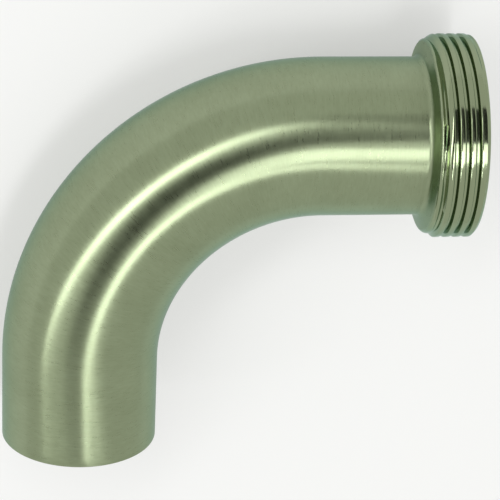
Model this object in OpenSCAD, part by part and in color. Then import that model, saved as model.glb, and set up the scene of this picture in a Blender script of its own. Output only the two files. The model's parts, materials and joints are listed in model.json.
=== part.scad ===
// Quarter-turn elbow in thin stainless tube. One end is left plain, to be
// welded. The other carries a threaded ferrule with a bevelled seat in its mouth.
// The elbow lies on its side, and Z = 0 is the surface that it lies on.

/* [Tube] */
// Outside diameter of the tube
tube_od = 50.8; // [40:0.1:64]
// Thickness of the tube's wall
wall = 1.65; // [1.2:0.05:2.5]
// Radius of the bend, to the middle of the tube
bend_r = 76.2; // [70:0.1:120]
// Straight tube between the bend and the plain end
plain_run = 28.6; // [20:0.1:60]
// Straight tube between the bend and the ferrule
ferrule_run = 28.6; // [20:0.1:60]

/* [Ferrule] */
// Length of the ferrule, from the tube to the mouth
ferrule_len = 20; // [18:0.1:36]
// Length of the thick threaded head, from its shoulder to the mouth
head_len = 15.8; // [10:0.1:17]
// Height of the shoulder, from the outside of the tube to the thread's crests
shoulder_h = 7.4; // [5:0.1:12]
// Fillet between the tube and the shoulder
neck_fillet = 2.5; // [0.5:0.1:2.8]
// Rounding of the shoulder's edge
shoulder_round = 1.2; // [0.5:0.1:1.6]
// Chamfer where the thread starts at the mouth
mouth_chamfer = 1; // [0.5:0.1:1.4]

/* [Thread] */
// Distance from one ridge to the next
pitch = 3.35; // [2.5:0.05:4.5]
// Depth of the grooves below the crests
thread_depth = 1.45; // [0.8:0.05:2]
// Width of a groove at the crests
groove_top = 1.3; // [1:0.05:1.8]
// Width of a groove at its bottom
groove_bottom = 0.6; // [0.3:0.05:0.9]
// Distance from the mouth to the middle of the first ridge
first_ridge = 1.95; // [1.8:0.05:2.5]

/* [Seat] */
// Width of the bevelled seat, measured across the radius
seat_w = 5.05; // [3:0.05:7]
// Angle between the seat and the axis
seat_angle = 45; // [35:1:50]

/* [Rest] */
// Angle round the bend, from the plain run, where it touches the surface under it
touch_angle = 27; // [5:1:40]

/* [Hidden] */
$fn = 96;
steel = [0.62, 0.65, 0.56];

tube_r = tube_od / 2;
bore_r = tube_r - wall;
crest_r = tube_r + shoulder_h;
seat_depth = seat_w / tan(seat_angle);
over = 1;

// The axes of the two ends cross at the origin, in the plane Z = 0. The plain
// run lies along -Y and the ferrule's along +X.
plain_end = bend_r + plain_run;
arm_len = ferrule_run + ferrule_len;
mouth = bend_r + arm_len;
shoulder = arm_len - head_len;

// Ridges stand a pitch apart, so there is a groove half a pitch past each one,
// for as long as the shoulder's edge keeps its full thickness behind it.
groove_room = head_len - shoulder_round - groove_top / 2;
grooves = floor((groove_room - first_ridge) / pitch + 0.5);

function bend_point(a) = bend_r * [1 - cos(a), sin(a) - 1, 0];
function bend_dir(a) = [sin(a), cos(a), 0];

// Lying down. The crests stand further out than the tube, so the elbow rests
// on the bend at touch_angle and on the innermost crest, and it is tilted
// about the direction of the tube where it touches.
touch = bend_point(touch_angle);
roll_axis = bend_dir(touch_angle);
inward = [cos(touch_angle), -sin(touch_angle), 0];
heel = [mouth - head_len + shoulder_round, 0, 0];
heel_reach = (heel - touch) * inward;
heel_lean = pow(heel_reach, 2) + pow(crest_r * inward.x, 2);
tilt = asin((sqrt(pow(tube_r * heel_reach, 2)
    + heel_lean * (pow(crest_r, 2) - pow(tube_r, 2))) - tube_r * heel_reach) / heel_lean);

// A direction of the tilted elbow, as seen before the tilt
function tilted(v) = v * cos(tilt) + cross(roll_axis, v) * sin(tilt)
    + roll_axis * (roll_axis * v) * (1 - cos(tilt));

// Rings that bound the elbow, each as its centre, its axis and its radius
rings = concat(
    [[[0, -plain_end, 0], [0, 1, 0], tube_r]],
    [for (a = [0:1:90]) [bend_point(a), bend_dir(a), tube_r]],
    [[heel, [1, 0, 0], crest_r],
     [[mouth - mouth_chamfer, 0, 0], [1, 0, 0], crest_r],
     [[mouth, 0, 0], [1, 0, 0], crest_r - mouth_chamfer]]);

// How far the rings reach along a direction of the tilted elbow
function reach(v) = let (d = tilted(v))
    max([for (r = rings) r[0] * d + r[2] * sqrt(1 - pow(r[1] * d, 2))]);

middle_x = (reach([1, 0, 0]) - reach([-1, 0, 0])) / 2;
middle_y = (reach([0, 1, 0]) - reach([0, -1, 0])) / 2;
depth_z = reach([0, 0, -1]);

// The tube's wall, as a flat ring
module tube_ring() {
    difference() {
        circle(r = tube_r);
        circle(r = bore_r);
    }
}

// Half-section of a groove, with its middle on the X axis and its top at x = 0
module groove() {
    polygon([[over, -groove_top / 2], [0, -groove_top / 2], [-thread_depth, -groove_bottom / 2],
             [-thread_depth, groove_bottom / 2], [0, groove_top / 2], [over, groove_top / 2]]);
}

// Half-section of the threaded head, with its rounded shoulder
module head_section() {
    difference() {
        union() {
            translate([bore_r, shoulder])
                square([crest_r - shoulder_round - bore_r, head_len]);
            translate([bore_r, shoulder + shoulder_round])
                square([crest_r - bore_r, head_len - shoulder_round]);
            translate([crest_r - shoulder_round, shoulder + shoulder_round])
                circle(r = shoulder_round);
        }
        for (i = [0:1:grooves - 1])
            translate([crest_r, arm_len - first_ridge - pitch * (i + 0.5)]) groove();
        translate([crest_r, arm_len])
            polygon([[-mouth_chamfer, 0], [over, over], [0, -mouth_chamfer]]);
    }
}

// Half-section of the fillet that joins the tube to the shoulder
module neck_section() {
    translate([tube_r, shoulder - neck_fillet])
        difference() {
            square(neck_fillet);
            translate([neck_fillet, 0]) circle(r = neck_fillet);
        }
}

// The straight run and the ferrule: the bore is straight up to the seat,
// which opens towards the mouth
module arm() {
    rotate_extrude()
        difference() {
            union() {
                translate([bore_r, 0]) square([wall, arm_len]);
                head_section();
                neck_section();
            }
            polygon([[bore_r, arm_len - seat_depth], [bore_r + seat_w, arm_len],
                     [bore_r, arm_len]]);
        }
}

// The whole elbow, with the crossing of its axes at the origin
module elbow_flat() {
    translate([bend_r, 0, 0]) rotate([0, 90, 0]) arm();
    translate([bend_r, -bend_r, 0]) rotate([0, 0, 90])
        rotate_extrude(angle = 90) translate([bend_r, 0]) tube_ring();
    translate([0, -bend_r, 0]) rotate([90, 0, 0]) linear_extrude(plain_run) tube_ring();
}

module elbow() {
    color(steel)
        translate([-middle_x, -middle_y, depth_z]) rotate(a = -tilt, v = roll_axis) elbow_flat();
}

elbow();
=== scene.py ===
# %% [markdown]
# # A quarter-turn elbow in brushed stainless tube
#
# The part is one bend of thin tube. One end is plain, to be welded. The other
# carries a threaded ferrule with a bevelled seat in its mouth. The CAD model
# gives the size, the place and the way that the elbow lies. This lesson makes
# the skin that is seen: the tube with its brush marks, and the thread as a
# true helix whose last turn only marks the shoulder, where the CAD model has
# plain rings.
#
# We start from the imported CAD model. It is the frame that everything fits.

# %% Load the frame
import json
import math

import bmesh
import bpy
import numpy as np
from mathutils import Matrix, Vector


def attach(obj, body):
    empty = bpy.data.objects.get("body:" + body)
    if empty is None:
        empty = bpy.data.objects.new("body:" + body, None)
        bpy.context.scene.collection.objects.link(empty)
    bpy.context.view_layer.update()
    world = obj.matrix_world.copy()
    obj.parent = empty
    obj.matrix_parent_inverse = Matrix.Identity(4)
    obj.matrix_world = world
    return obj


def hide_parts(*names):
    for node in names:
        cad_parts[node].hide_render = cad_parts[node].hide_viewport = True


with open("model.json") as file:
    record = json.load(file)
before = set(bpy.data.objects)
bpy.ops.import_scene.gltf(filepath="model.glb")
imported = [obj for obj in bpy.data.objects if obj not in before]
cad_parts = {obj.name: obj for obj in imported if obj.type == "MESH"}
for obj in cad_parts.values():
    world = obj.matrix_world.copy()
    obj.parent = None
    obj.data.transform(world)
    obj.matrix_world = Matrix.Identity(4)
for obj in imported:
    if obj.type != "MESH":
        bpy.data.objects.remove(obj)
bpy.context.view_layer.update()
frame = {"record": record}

# %% [markdown]
# ## Where the elbow lies
#
# The elbow rests on its side with a slight tilt, so its own directions aren't
# the world's. It is far easier to model it flat and turn it at the end. The
# record holds the mounts, and two of them give all we need: the bore of the
# ferrule points along the arm, and the outside of the plain end points along
# the plain run. Their axes cross at the elbow's own origin.

# %% The elbow's own directions
MM = 0.001
mounts = {mount["name"]: mount for mount in frame["record"]["mounts"]}


def mount_place(name):
    """Where a mount is, in metres."""
    return Vector(mounts[name]["pos_m"])


def mount_size(name, size):
    """A stated size of a mount, in millimetres."""
    return mounts[name]["dims"][size]


along_arm = Vector(mounts["bevel_seat"]["axis"]).normalized()
along_run = -Vector(mounts["plain_outside"]["axis"]).normalized()
off_floor = along_arm.cross(along_run).normalized()
corner_to_corner = mount_place("bevel_seat") - mount_place("plain_outside")
mouth_at = corner_to_corner.dot(along_arm) / MM
plain_end_at = corner_to_corner.dot(along_run) / MM
crossing = mount_place("bevel_seat") - along_arm * mouth_at * MM

lying = Matrix((along_arm, along_run, off_floor)).transposed().to_4x4()
own_to_world = Matrix.Translation(crossing) @ lying @ Matrix.Scale(MM, 4)
print(f"mouth {mouth_at:.2f} mm and plain end {plain_end_at:.2f} mm from the crossing")

# %% [markdown]
# ## The camera first
#
# The camera looks down on the elbow from about 0.8 m with a long lens, so the
# two straight runs look almost parallel. It is placed in the elbow's own
# directions: it aims at a point near the inside of the bend, seen from a
# little to the left and from beyond the arm, with a slight roll.

# %% The camera
AIM = Vector((54.9, -39.66, 0))
CAMERA_AWAY = 795.1
LOOK_DOWN = math.radians(23.87)
LOOK_ACROSS = math.radians(8.135)
ROLL = math.radians(-2.605)
LENS_MM = 175.8

view = Vector((
    math.sin(LOOK_ACROSS) * math.cos(LOOK_DOWN),
    -math.sin(LOOK_DOWN),
    -math.cos(LOOK_ACROSS) * math.cos(LOOK_DOWN),
))
level_up = (Vector((0, 1, 0)) - view * view.y).normalized()
level_right = view.cross(level_up)
up = level_up * math.cos(ROLL) + level_right * math.sin(ROLL)
right = view.cross(up)


def aimed(place, side, top, back):
    """A matrix that stands a camera or a lamp at place, in the elbow's own directions."""
    turn = Matrix((side, top, back)).transposed().to_4x4()
    return Matrix.Translation(own_to_world @ place) @ lying @ turn


camera = bpy.data.objects.new("camera", bpy.data.cameras.new("camera"))
camera.data.lens = LENS_MM
camera.data.clip_start = 0.05
camera.matrix_world = aimed(AIM - view * CAMERA_AWAY, right, up, -view)
bpy.context.scene.collection.objects.link(camera)
bpy.context.scene.camera = camera
print("camera at", [round(value, 3) for value in camera.matrix_world.translation])

# %% [markdown]
# ## The sizes
#
# The mounts give the tube, the bore and the crests of the thread. The other
# sizes are those of the part: a 3 inch bend, and the thread as it is measured.
# Places on the ferrule are measured from its mouth, and are negative towards
# the tube. Angles go round the tube's axis, from the outside of the bend
# towards the side that faces up.

# %% Sizes in millimetres
TUBE_R = mount_size("plain_outside", "r_mm")
BORE_R = mount_size("plain_bore", "r_mm")
CREST_R = mount_size("thread_crests", "r_mm")
BEND_R = 76.2
SEAT_W = 5.05
EDGE_BREAK = 0.3

PITCH = 3.35
THREAD_DEPTH = 1.6
GROOVE_TOP = 1.72
GROOVE_BOTTOM = 0.7
CREST_ROUND = 0.32
CREST_CROWN = 0.012
FIRST_RIDGE = -2.05
FIRST_RIDGE_ANGLE = 74
MOUTH_CHAMFER = 0.9
MOUTH_SHORT = 0.4

plain_run = plain_end_at - BEND_R
arm_run = mouth_at - MOUTH_SHORT - BEND_R
bend_length = BEND_R * math.pi / 2
print(f"tube {2 * TUBE_R:.1f} mm, plain run {plain_run:.1f} mm, arm {arm_run:.1f} mm")

# %% [markdown]
# ## A place on the tube's middle line
#
# Every ring of the skin stands square to the middle line: a straight run, a
# quarter circle and the arm. One function turns a length along that line into
# a centre and two directions across it, for as many places at once as we like.

# %% Rings along the middle line
COLUMNS = 256


def stations(length):
    """Centres, outward directions and lengthwise directions for lengths from the plain end."""
    length = np.asarray(length, float)
    turned = np.clip((length - plain_run) / BEND_R, 0, math.pi / 2)
    before = np.minimum(length - plain_run, 0)
    after = np.maximum(length - plain_run - bend_length, 0)
    flat = np.zeros_like(turned)
    centre = np.stack((
        BEND_R * (1 - np.cos(turned)) + after,
        BEND_R * (np.sin(turned) - 1) + before,
        flat,
    ), -1)
    outward = np.stack((-np.cos(turned), np.sin(turned), flat), -1)
    forward = np.stack((np.sin(turned), np.cos(turned), flat), -1)
    return centre, outward, forward


def points_on(length, radius, angle):
    """Points at a length, a radius and an angle in radians. All three are arrays of one shape."""
    centre, outward, _ = stations(length)
    up_part = np.array((0, 0, 1.0))
    across = np.cos(angle)[..., None] * outward + np.sin(angle)[..., None] * up_part
    return centre + radius[..., None] * across


angles = np.linspace(0, 2 * math.pi, COLUMNS + 1)
print("the mouth's centre comes out at", stations(plain_run + bend_length + arm_run)[0])

# %% [markdown]
# ## The thread
#
# A real thread is one groove that winds into the blank. Its section repeats
# at every pitch, so the depth below the crests depends only on how far a
# point is from the nearest ridge. The ridge has a flat top, a round corner, a
# steep flank and a flat root. We write half of it as a short outline.

# %% Half of one ridge
flank_lean = math.atan2((GROOVE_TOP - GROOVE_BOTTOM) / 2, THREAD_DEPTH)
crest_half = (PITCH - GROOVE_TOP) / 2
corner_turn = math.pi / 2 - flank_lean
corner_middle = crest_half - CREST_ROUND * (1 - math.sin(flank_lean)) / math.cos(flank_lean)
corner_steps = np.linspace(0, corner_turn, 5)
crown_steps = np.linspace(0, 1, 4)[:-1]

ridge_across = np.concatenate((
    corner_middle * crown_steps,
    corner_middle + CREST_ROUND * np.sin(corner_steps),
    [(PITCH - GROOVE_BOTTOM) / 2, PITCH / 2],
))
ridge_down = np.concatenate((
    CREST_CROWN * crown_steps ** 2,
    CREST_CROWN + CREST_ROUND * (1 - np.cos(corner_steps)),
    [THREAD_DEPTH, THREAD_DEPTH],
))
print(f"the outline has {len(ridge_across)} points, flank {math.degrees(flank_lean):.1f} degrees")

# %% [markdown]
# ## The shoulder behind the thread
#
# The blank was turned before the thread was cut, so its shoulder is plain:
# from the tube it goes up through a small fillet, a steep flank and a round
# edge to a narrow land, and the last turn of the groove marks that land ever
# more lightly. Four limits say where metal is left: the ridges, the shoulder,
# the chamfer at the mouth and the tube itself. The groove also fades out at
# the mouth, because its last half turn has no metal beyond it.

# %% The outline of the shoulder
HEAD_BACK = -22.0
FOOT = -18.2
FILLET_R = 1.6
FLANK = math.radians(74)
FLANK_LONG = 4.2
EDGE_R = 1.2
LAND_RISE = math.radians(10)
MARK_FROM = -15.2
MARK_OVER = 1.4
MARK_DEPTH = 0.6
LAND_TO_CREST = ((-13.9, -1.2), (-12.9, -0.5), (-12.3, -0.15), (-11.9, 0))
FADE_FROM = -0.5
FADE_OVER = 1.0

fillet_turns = np.linspace(0, FLANK, 7)
edge_turns = np.linspace(FLANK, LAND_RISE, 9)
fillet_end = np.array((FOOT + FILLET_R * math.sin(FLANK), TUBE_R + FILLET_R * (1 - math.cos(FLANK))))
edge_start = fillet_end + FLANK_LONG * np.array((math.cos(FLANK), math.sin(FLANK)))
outline = np.concatenate((
    [(HEAD_BACK, TUBE_R)],
    np.stack((FOOT + FILLET_R * np.sin(fillet_turns), TUBE_R + FILLET_R * (1 - np.cos(fillet_turns))), -1),
    edge_start + EDGE_R * np.stack((
        math.sin(FLANK) - np.sin(edge_turns),
        np.cos(edge_turns) - math.cos(FLANK),
    ), -1),
    [(place, CREST_R + below) for place, below in LAND_TO_CREST],
    [(0, CREST_R)],
))
shoulder_along, shoulder_up = outline.T
print("the land starts at", np.round(outline[16], 2), "mm")


def ridge_middle(degrees):
    """Where the middle of the first ridge is, at an angle round the axis."""
    return FIRST_RIDGE + PITCH * (degrees - FIRST_RIDGE_ANGLE) / 360


def head_radius(place, degrees):
    """The outside radius of the ferrule, at a place from the mouth and an angle."""
    past_ridge = place - ridge_middle(degrees)
    off_ridge = (past_ridge + PITCH / 2) % PITCH - PITCH / 2
    groove_at = place - past_ridge % PITCH + PITCH / 2
    fade = np.clip((FADE_FROM - groove_at) / FADE_OVER, 0, 1)
    cut = fade * np.interp(np.abs(off_ridge), ridge_across, ridge_down)
    ridges = CREST_R - cut
    chamfer = CREST_R - MOUTH_CHAMFER - place
    mark = MARK_DEPTH * np.clip((place - MARK_FROM) / MARK_OVER, 0, 1)
    shoulder = np.interp(place, shoulder_along, shoulder_up) - mark * cut
    return np.maximum(TUBE_R, np.minimum.reduce((ridges, chamfer, shoulder)))


for degrees in (-24, 75, 156):
    print(degrees, "degrees:", np.round(head_radius(np.arange(-19, 0.1, 2.0), degrees), 2))

# %% [markdown]
# ## Rows that follow the helix
#
# If the rows of the mesh were plain rings, they would cut across the groove's
# edges and leave them ragged. So the rows of the head wind with the helix and
# lie along every edge of the section. A row that would run past the mouth or
# past the back is held at that limit, where its points fall together, and
# merging them afterwards leaves clean triangles there.

# %% The head's rows
across_all = np.concatenate((-ridge_across[::-1], ridge_across[1:-1])) / PITCH
turns_needed = math.ceil(-HEAD_BACK / PITCH) + 2
row_phase = (np.arange(-turns_needed, 2)[:, None] + across_all[None, :]).ravel()
head_degrees = np.degrees(angles)
head_place = ridge_middle(head_degrees)[None, :] + PITCH * row_phase[:, None]
head_place = np.clip(head_place, HEAD_BACK, 0)
head_rows = np.any((head_place > HEAD_BACK) & (head_place < 0), axis=1)
first_row = max(np.argmax(head_rows) - 1, 0)
last_row = len(head_rows) - np.argmax(head_rows[::-1])
head_place = head_place[first_row:last_row + 1]
head_outer = head_radius(head_place, np.broadcast_to(head_degrees, head_place.shape))
print(f"{len(head_place)} rows in the head, radius {head_outer.min():.2f} to {head_outer.max():.2f} mm")

# %% [markdown]
# ## The rest of the skin
#
# The tube is plain rings, closer together round the bend. The mouth has a
# flat land and then the bevelled seat at 45 degrees, and the bore leads all
# the way back to the plain end, whose edges are just broken, as a saw cut is
# before welding. The whole is one closed surface, so its rows are listed once
# round: outside, mouth, seat, bore and plain end.

# %% Rows of the tube, the mouth and the bore
TUBE_ROWS = 10
BEND_ROWS = 72
EDGE_ROWS = 5
SEAT_ROWS = 6
whole = plain_run + bend_length + arm_run
land_r = CREST_R - MOUTH_CHAMFER
seat_edge_r = BORE_R + SEAT_W


def even_rows(start, *stops):
    """Lengths from start through each stop, with as many even steps as the stop says."""
    lengths = [start]
    for end, steps in stops:
        lengths.extend(np.linspace(lengths[-1], end, steps + 1)[1:])
    return np.array(lengths)


def rings(lengths, radii):
    """One row for each plain ring, as arrays of its points' lengths and radii."""
    lengths, radii = np.broadcast_arrays(np.asarray(lengths, float), np.asarray(radii, float))
    return tuple(np.repeat(values[:, None], COLUMNS + 1, axis=1) for values in (lengths, radii))


rim_turns = np.linspace(0, math.pi / 2, EDGE_ROWS)[:-1]
outside = even_rows(
    EDGE_BREAK,
    (plain_run, TUBE_ROWS),
    (plain_run + bend_length, BEND_ROWS),
    (whole + HEAD_BACK - 0.5, TUBE_ROWS // 2),
)
seat_steps = np.linspace(0, SEAT_W, SEAT_ROWS)
bore_lengths = np.concatenate(([whole - SEAT_W - 5, whole - 16], outside[::-1]))

skin = [
    ("plain rim", rings(EDGE_BREAK * (1 - np.cos(rim_turns)), TUBE_R - EDGE_BREAK * (1 - np.sin(rim_turns)))),
    ("tube", rings(outside, TUBE_R)),
    ("head", (whole + head_place, head_outer)),
    ("land", rings(whole, [(land_r + seat_edge_r) / 2])),
    ("seat", rings(whole - seat_steps, seat_edge_r - seat_steps)),
    ("bore", rings(bore_lengths, BORE_R)),
    ("bore rim", rings([0], BORE_R + EDGE_BREAK)),
]
for name, (lengths, radii) in skin:
    print(f"{name}: {len(lengths)} rows")

# %% [markdown]
# ## One closed mesh
#
# Four neighbouring points make a face, and the last row joins the first. The
# points that fall together at the seam and at the ends of the helix are
# merged. Each point also keeps its place on the tube as if it were
# straightened, because brush marks run round the tube and have to follow the
# bend: that attribute is called the lay, as machinists call the direction of
# tool marks.

# %% Build the mesh
MERGE_WITHIN = 1e-6
SHARP = math.radians(40)
TUBE, TURNED, BORE = range(3)
TURNED_FROM = -15.6
finish_of = {"head": TURNED, "land": TURNED, "seat": TURNED, "bore": BORE}

all_lengths = np.concatenate([lengths for _, (lengths, _) in skin])
all_radii = np.concatenate([radii for _, (_, radii) in skin])
row_finish = np.concatenate([np.full(len(lengths), finish_of.get(name, TUBE)) for name, (lengths, _) in skin])
all_angles = np.broadcast_to(angles, all_lengths.shape)
own_points = points_on(all_lengths, all_radii, all_angles).reshape(-1, 3)
turn_to_world = np.array(own_to_world)
world_points = own_points @ turn_to_world[:3, :3].T + turn_to_world[:3, 3]
lay = np.stack((all_lengths, all_radii * np.cos(all_angles), all_radii * np.sin(all_angles)), -1).reshape(-1, 3)

row_count = len(all_lengths)
row, column = (grid.ravel() for grid in np.meshgrid(np.arange(row_count), np.arange(COLUMNS), indexing="ij"))
next_row = (row + 1) % row_count
wide = COLUMNS + 1
faces = np.stack((
    row * wide + column,
    row * wide + column + 1,
    next_row * wide + column + 1,
    next_row * wide + column,
), -1)

mesh = bpy.data.meshes.new("elbow_skin")
mesh.from_pydata(world_points.tolist(), [], faces.tolist())
face_finish = np.maximum(row_finish[row], row_finish[next_row])
behind = all_lengths[row, column] < whole + TURNED_FROM
face_finish[(face_finish == TURNED) & behind & (row < row_count / 2)] = TUBE
mesh.polygons.foreach_set("material_index", face_finish.astype(np.int32))
mesh.attributes.new("lay", "FLOAT_VECTOR", "POINT").data.foreach_set("vector", lay.ravel())

shell = bmesh.new()
shell.from_mesh(mesh)
bmesh.ops.remove_doubles(shell, verts=shell.verts, dist=MERGE_WITHIN)
bmesh.ops.dissolve_degenerate(shell, edges=shell.edges, dist=MERGE_WITHIN / 10)
open_edges = sum(not edge.is_manifold for edge in shell.edges)
for face in shell.faces:
    face.smooth = True
for edge in shell.edges:
    edge.smooth = edge.calc_face_angle(0) < SHARP
shell.to_mesh(mesh)
volume_ml = shell.calc_volume() * 1e6
shell.free()
elbow_skin = bpy.data.objects.new("elbow_skin", mesh)
bpy.context.scene.collection.objects.link(elbow_skin)
triangles = sum(len(face.vertices) - 2 for face in mesh.polygons)
print(f"{triangles} triangles, {open_edges} open edges, {volume_ml:.2f} ml of steel")

# %% [markdown]
# ## Which way the brush marks stretch a reflection
#
# Marks that run round a tube stretch its reflections along the tube. Cycles
# stretches them along the surface's tangent, which it takes from circles
# about the middle of the mesh's texture space. With that middle at the centre
# of the bend, those circles are just the lines along the tube.

# %% Centre the texture space on the bend
TEXTURE_SPACE = 0.1
mesh.use_auto_texspace = False
mesh.texspace_location = own_to_world @ Vector((BEND_R, -BEND_R, 0))
mesh.texspace_size = (TEXTURE_SPACE, TEXTURE_SPACE, TEXTURE_SPACE)
print("centre of the bend:", [round(value, 4) for value in mesh.texspace_location])

# %% [markdown]
# ## A short way to write materials
#
# Node trees read badly in code, so we let Python do the sums: a small class
# wraps a socket, and adding or multiplying it makes the Math node. All other
# nodes come from one method, which takes the node's type, its settings and
# what goes into its sockets.

# %% A value in a material
class Value:
    """A socket's output that can be added, subtracted and multiplied."""

    def __init__(self, finish, socket):
        self.finish = finish
        self.socket = socket

    def sum_of(self, operation, first, second):
        return self.finish.node("ShaderNodeMath", {"operation": operation}, {0: first, 1: second})

    def __add__(self, other):
        return self.sum_of("ADD", self, other)

    def __radd__(self, other):
        return self.sum_of("ADD", other, self)

    def __sub__(self, other):
        return self.sum_of("SUBTRACT", self, other)

    def __rsub__(self, other):
        return self.sum_of("SUBTRACT", other, self)

    def __mul__(self, other):
        return self.sum_of("MULTIPLY", self, other)

    def __rmul__(self, other):
        return self.sum_of("MULTIPLY", other, self)


# %% A material under construction
class Finish:
    """A material of the elbow, with one method that adds its nodes."""

    def __init__(self, name):
        self.material = bpy.data.materials.new(name)
        self.material.use_nodes = True
        self.tree = self.material.node_tree
        self.tree.nodes.clear()

    def node(self, kind, settings=None, sockets=None, gives=0):
        """Adds a node, sets it up, fills its sockets and returns one of its outputs."""
        made = self.tree.nodes.new(kind)
        for setting, value in (settings or {}).items():
            if setting == "stops":
                for stop, (at, shade) in zip(made.color_ramp.elements, value):
                    stop.position = at
                    stop.color = shade
            else:
                setattr(made, setting, value)
        for socket, value in (sockets or {}).items():
            if isinstance(value, Value):
                self.tree.links.new(value.socket, made.inputs[socket])
            else:
                made.inputs[socket].default_value = value
        return Value(self, made.outputs[gives]) if made.outputs else made


print("Value and Finish are ready")

# %% [markdown]
# ## Brushed steel
#
# The tube was brushed with an abrasive band, so its marks are fine lines round
# it, a few millimetres long and well under a millimetre apart. They show as a
# faint change of gloss and as tiny ridges. We stretch a noise along the lay:
# many changes along the tube, few round it. A second, coarser noise gives the
# uneven passes of the band.

# %% Brush marks
STEEL = (0.312, 0.363, 0.235, 1)
STEEL_DARK = (0.255, 0.297, 0.185, 1)
EDGE_SHADE = (0.6, 0.74, 0.7, 1)


def marks(finish, lay_point, along, around, detail=3.0):
    """A noise with so many changes a millimetre along the tube and around it."""
    stretched = finish.node(
        "ShaderNodeVectorMath", {"operation": "MULTIPLY"}, {0: lay_point, 1: (along, around, around)})
    return finish.node(
        "ShaderNodeTexNoise", {}, {"Vector": stretched, "Scale": 1.0, "Detail": detail, "Roughness": 0.6})


def place_on_tube(finish):
    """The straightened place on the tube that the mesh keeps for each point."""
    return finish.node("ShaderNodeAttribute", {"attribute_name": "lay"}, gives="Vector")


def mixed(finish, factor, first, second):
    """A colour between two others."""
    return finish.node("ShaderNodeMix", {"data_type": "RGBA"}, {0: factor, 6: first, 7: second}, gives=2)


# %% The finish of the tube
def brushed_steel():
    finish = Finish("brushed_steel")
    lay_point = place_on_tube(finish)
    fine = marks(finish, lay_point, 1.9, 0.3, 4.0)
    coarse = marks(finish, lay_point, 0.7, 0.1, 2.0)
    cloud = marks(finish, lay_point, 0.06, 0.06, 5.0)
    shade = fine * 1.6 + coarse * 0.5 + cloud * 1.4 - 1.2
    colour = mixed(finish, shade, STEEL_DARK, STEEL)
    relief = finish.node(
        "ShaderNodeBump", {}, {"Strength": 0.5, "Distance": 0.00001, "Height": fine + coarse * 0.4})
    shader = finish.node("ShaderNodeBsdfPrincipled", {}, {
        "Base Color": colour,
        "Metallic": 1.0,
        "Roughness": 0.2 + coarse * 0.06 + fine * 0.13,
        "Anisotropic": 0.85,
        "Specular Tint": EDGE_SHADE,
        "Normal": relief,
    }, gives="BSDF")
    finish.node("ShaderNodeOutputMaterial", {}, {"Surface": shader})
    return finish.material


# %% [markdown]
# ## Turned steel
#
# The ferrule was turned on a lathe and left bright. Its marks are far finer
# than the brush's and run round the same axis, so its reflections stay crisp:
# they break only at the edges of the thread.

# %% The finish of the ferrule
def turned_steel():
    finish = Finish("turned_steel")
    lay_point = place_on_tube(finish)
    fine = marks(finish, lay_point, 4.0, 0.04)
    cloud = marks(finish, lay_point, 0.3, 0.06, 2.0)
    colour = mixed(finish, fine * 0.6 + cloud * 0.5, STEEL_DARK, STEEL)
    relief = finish.node("ShaderNodeBump", {}, {"Strength": 0.3, "Distance": 0.000008, "Height": fine})
    shader = finish.node("ShaderNodeBsdfPrincipled", {}, {
        "Base Color": colour,
        "Metallic": 1.0,
        "Roughness": 0.1 + cloud * 0.06,
        "Specular Tint": EDGE_SHADE,
        "Normal": relief,
    }, gives="BSDF")
    finish.node("ShaderNodeOutputMaterial", {}, {"Surface": shader})
    return finish.material


# %% The finish of the bore
def bore_steel():
    finish = Finish("bore_steel")
    lay_point = place_on_tube(finish)
    drawn = marks(finish, lay_point, 0.05, 1.2)
    cloud = marks(finish, lay_point, 0.08, 0.1, 2.0)
    shader = finish.node("ShaderNodeBsdfPrincipled", {}, {
        "Base Color": mixed(finish, drawn * 0.5 + cloud * 0.5, STEEL_DARK, STEEL),
        "Metallic": 1.0,
        "Roughness": 0.34 + drawn * 0.08,
        "Specular Tint": EDGE_SHADE,
    }, gives="BSDF")
    finish.node("ShaderNodeOutputMaterial", {}, {"Surface": shader})
    return finish.material


for made_finish in (brushed_steel(), turned_steel(), bore_steel()):
    mesh.materials.append(made_finish)
    print(made_finish.name, len(made_finish.node_tree.nodes), "nodes")

# %% [markdown]
# ## Put it in place
#
# The skin stands for the CAD solid, which stays behind it for collision, and
# rides on the one body.

# %% Ride on the frame
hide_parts("elbow")
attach(elbow_skin, "root")
print("the skin is in place of the CAD node")

# %% [markdown]
# ## Floor and light
#
# A pale floor fills the view. Part of its white is its own, so that the elbow's
# shadow stays soft. Soft boxes hang over the elbow and face straight down: a
# long one beyond the outside of the bend gives the stripe along its back, and
# three small ones nearly overhead give the stripe along the arm, the bend and
# the thread. The dark line between the stripes is the gap between the boxes, so
# their places matter more than their strength. They are placed in the elbow's
# own directions, 0.8 m above it.

# %% The floor
FLOOR_HALF = 4.0
FLOOR_SHADE = (0.84, 0.84, 0.84, 1)
FLOOR_GLOW = 0.4
floor_mesh = bpy.data.meshes.new("floor")
floor_corners = [(-FLOOR_HALF, -FLOOR_HALF, 0), (FLOOR_HALF, -FLOOR_HALF, 0),
                 (FLOOR_HALF, FLOOR_HALF, 0), (-FLOOR_HALF, FLOOR_HALF, 0)]
floor_mesh.from_pydata(floor_corners, [], [(0, 1, 2, 3)])
floor = bpy.data.objects.new("floor", floor_mesh)
bpy.context.scene.collection.objects.link(floor)
floor_finish = Finish("pale_floor")
floor_shader = floor_finish.node(
    "ShaderNodeBsdfPrincipled", {}, {"Base Color": FLOOR_SHADE, "Roughness": 0.9}, gives="BSDF")
floor_white = floor_finish.node("ShaderNodeEmission", {}, {"Strength": 0.95}, gives="Emission")
from_camera = floor_finish.node("ShaderNodeLightPath", gives="Is Camera Ray")
from_gloss = floor_finish.node("ShaderNodeLightPath", gives="Is Glossy Ray")
from_glass = floor_finish.node("ShaderNodeLightPath", gives="Is Transmission Ray")
glow = (from_camera + from_gloss + from_glass) * FLOOR_GLOW
seen_floor = floor_finish.node("ShaderNodeMixShader", {}, {0: glow, 1: floor_shader, 2: floor_white})
floor_finish.node("ShaderNodeOutputMaterial", {}, {"Surface": seen_floor})
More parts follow.
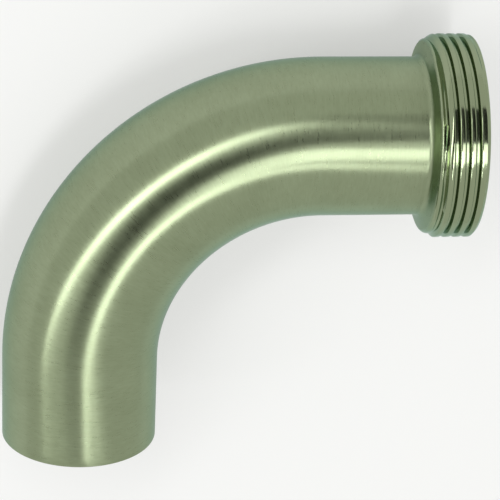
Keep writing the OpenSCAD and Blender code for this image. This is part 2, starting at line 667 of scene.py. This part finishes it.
floor_mesh.materials.append(floor_finish.material)
print("floor", 2 * FLOOR_HALF, "m wide")

# %% The lamps
LAMP_UP = 800
BOXES = {
    "long_box": {"at": (-652, 133), "points": (0.745, 0.667), "size": (1.58, 0.185), "radiance": 5.6},
    "arm_box": {"at": (205, -78), "points": (0.0, 1.0), "size": (0.245, 0.11), "radiance": 10.2},
    "bend_box": {"at": (84, -322), "points": (0.6, 0.8), "size": (0.17, 0.14), "radiance": 8.2},
    "thread_box": {"at": (330, 8), "points": (0.0, 1.0), "size": (0.314, 0.15), "radiance": 3.0},
}


def soft_box(name, at, points, size, radiance):
    """A rectangular lamp over the elbow that faces straight down and runs the way it points."""
    place = Vector((*at, LAMP_UP))
    back = Vector((0, 0, 1))
    length = Vector((*points, 0)).normalized()
    lamp = bpy.data.lights.new(name, "AREA")
    lamp.shape = "RECTANGLE"
    lamp.size, lamp.size_y = size
    lamp.energy = radiance * math.pi * size[0] * size[1]
    standing = bpy.data.objects.new(name, lamp)
    standing.matrix_world = aimed(place, length, back.cross(length), back)
    standing.visible_camera = False
    bpy.context.scene.collection.objects.link(standing)
    return standing


for name, facts in BOXES.items():
    box = soft_box(name, **facts)
    print(name, round(box.data.energy, 2), "W")

# %% [markdown]
# ## Black cards
#
# Chrome and bright steel look flat when all that they reflect is light. A
# photographer hangs black cards just out of view. The turned thread shows them
# as a crisp black band above the white one, and the brushed tube as the dark
# line between its stripes.

# %% The cards
CARD_UP = 795
CARDS = {
    "far_card": [(255, 531, CARD_UP), (560, 531, CARD_UP), (560, 1000, CARD_UP), (280, 1000, CARD_UP)],
    "gap_card": [(-10, 45, CARD_UP), (235, 45, CARD_UP), (235, 531, CARD_UP), (30, 531, CARD_UP),
                 (-10, 400, CARD_UP)],
    "thread_card": [(265, 168, CARD_UP), (560, 172, CARD_UP), (560, 531, CARD_UP), (265, 531, CARD_UP)],
    "left_card": [(-330, -330, CARD_UP), (-30, -330, CARD_UP), (-10, -160, CARD_UP), (-10, 400, CARD_UP),
                  (-400, 60, CARD_UP)],
}
card_finish = Finish("black_card")
card_shader = card_finish.node(
    "ShaderNodeBsdfPrincipled", {}, {"Base Color": (0.01, 0.01, 0.01, 1), "Roughness": 0.9}, gives="BSDF")
card_finish.node("ShaderNodeOutputMaterial", {}, {"Surface": card_shader})
for name, corners in CARDS.items():
    card_mesh = bpy.data.meshes.new(name)
    card_points = [own_to_world @ Vector(corner) for corner in corners]
    card_mesh.from_pydata(card_points, [], [range(len(corners))])
    card_mesh.materials.append(card_finish.material)
    card = bpy.data.objects.new(name, card_mesh)
    card.visible_camera = False
    bpy.context.scene.collection.objects.link(card)
    print(name, "has", len(corners), "corners")

# %% [markdown]
# ## The room
#
# Everything else that the steel reflects is a pale, even room.

# %% The room
ROOM = (0.8, 0.81, 0.77, 1)
world = bpy.data.worlds.new("room")
world.use_nodes = True
world.node_tree.nodes["Background"].inputs["Color"].default_value = ROOM
bpy.context.scene.world = world
bpy.context.scene.view_settings.view_transform = "Standard"
print("room", ROOM[:3])
